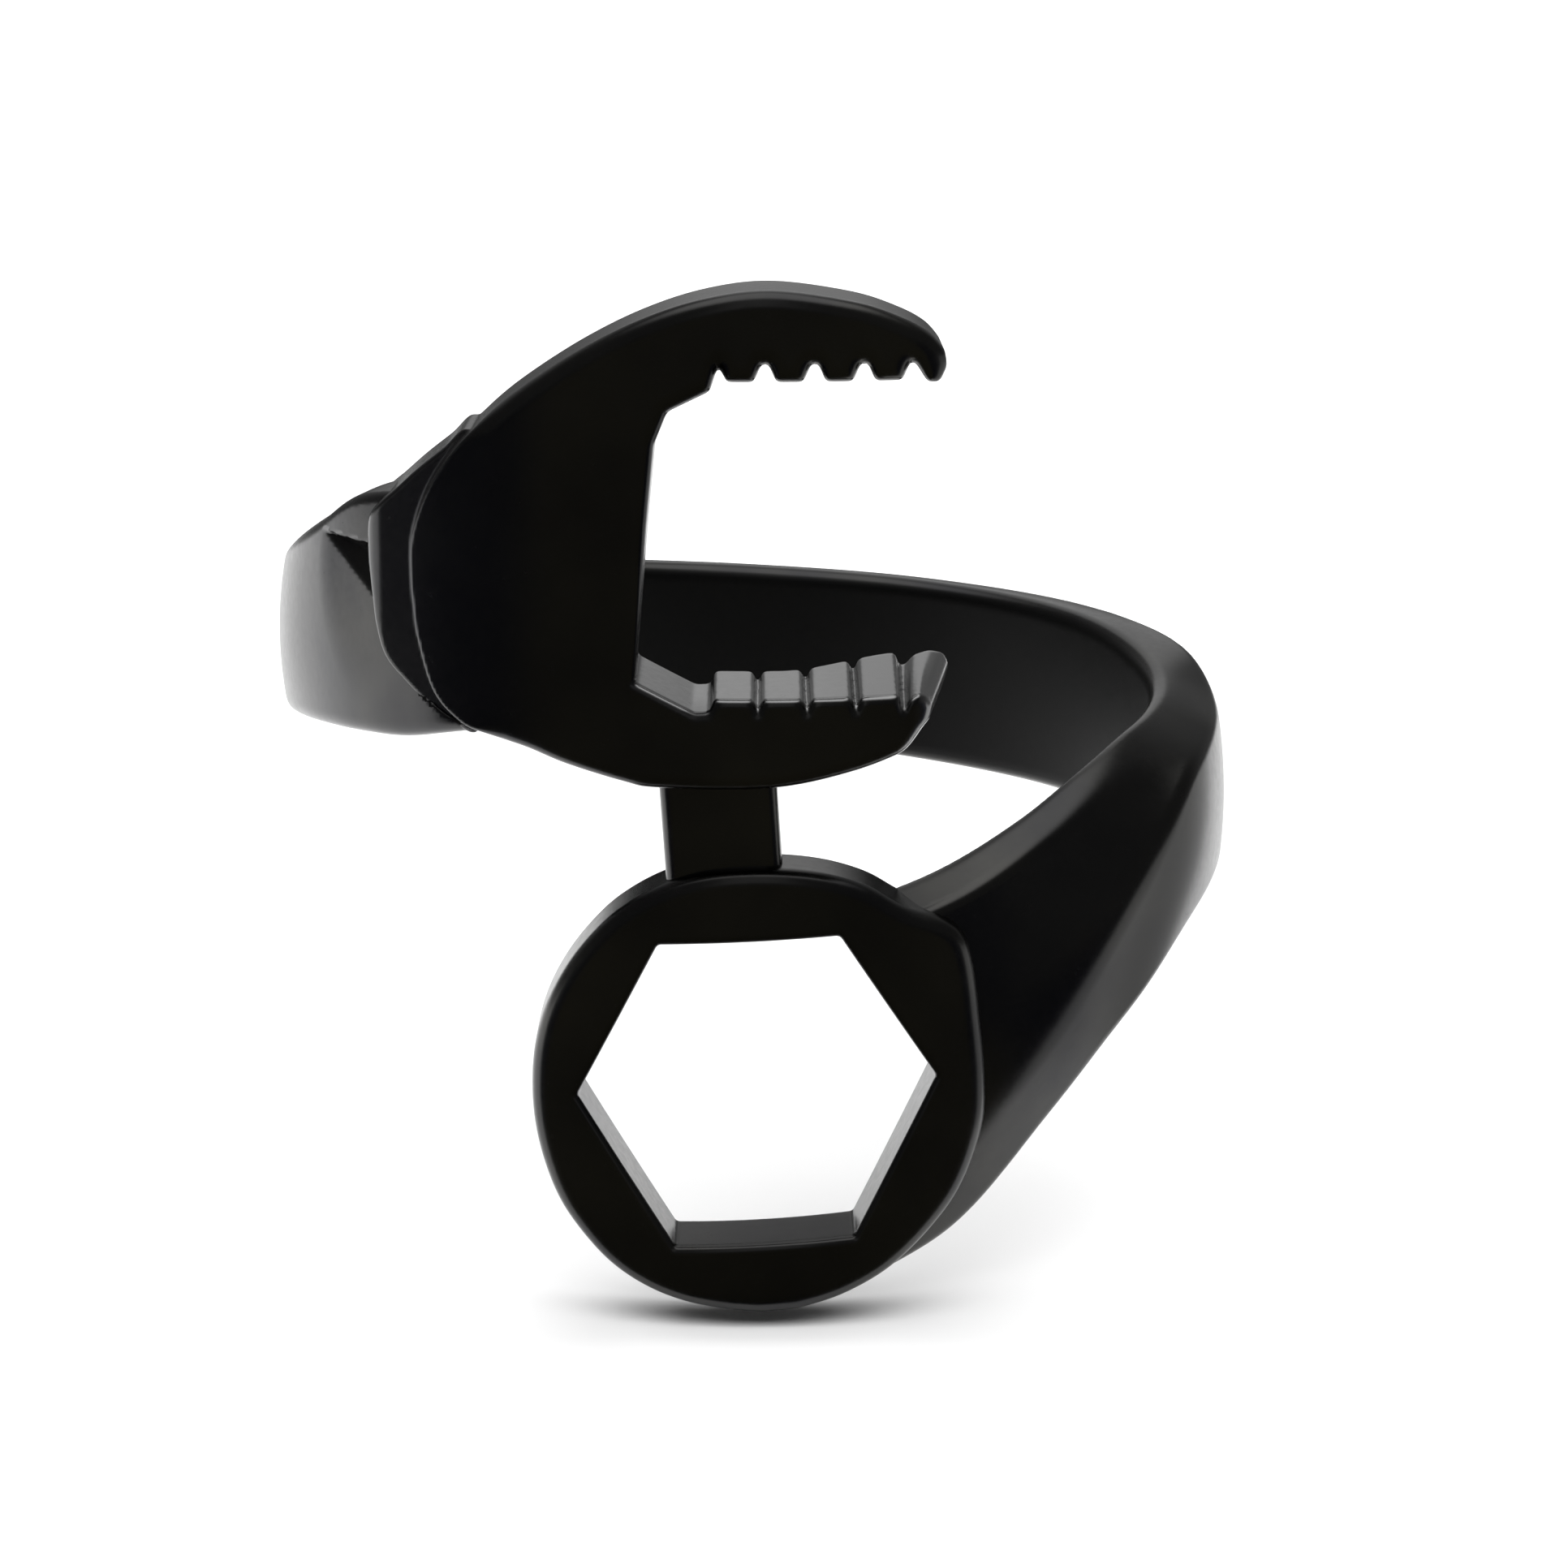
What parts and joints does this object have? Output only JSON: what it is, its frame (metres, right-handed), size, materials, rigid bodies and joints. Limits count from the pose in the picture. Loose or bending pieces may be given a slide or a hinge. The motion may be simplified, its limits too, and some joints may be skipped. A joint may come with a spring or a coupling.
{
  "type": "wrench-shaped bottle opener ring",
  "caption": "Black steel finger ring shaped like a small wrench wrapped round the finger: a toothed open jaw hooks bottle caps, and a round box end has a hexagonal hole.",
  "frame": {"origin": "centre of the finger bore, on its axis", "axes": "+Z along the finger towards the open jaw; both heads face -Y; +X to the wearer's view right, where the jaw opens"},
  "size_m": [0.0239, 0.0249, 0.0236],
  "materials": {
    "black_steel": "semi-gloss black plating on stainless steel"
  },
  "bodies": {
    "root": {"band": "black_steel", "open_jaw_head": "black_steel", "hex_head": "black_steel", "bridge_bar": "black_steel"}
  },
  "joints": []
}
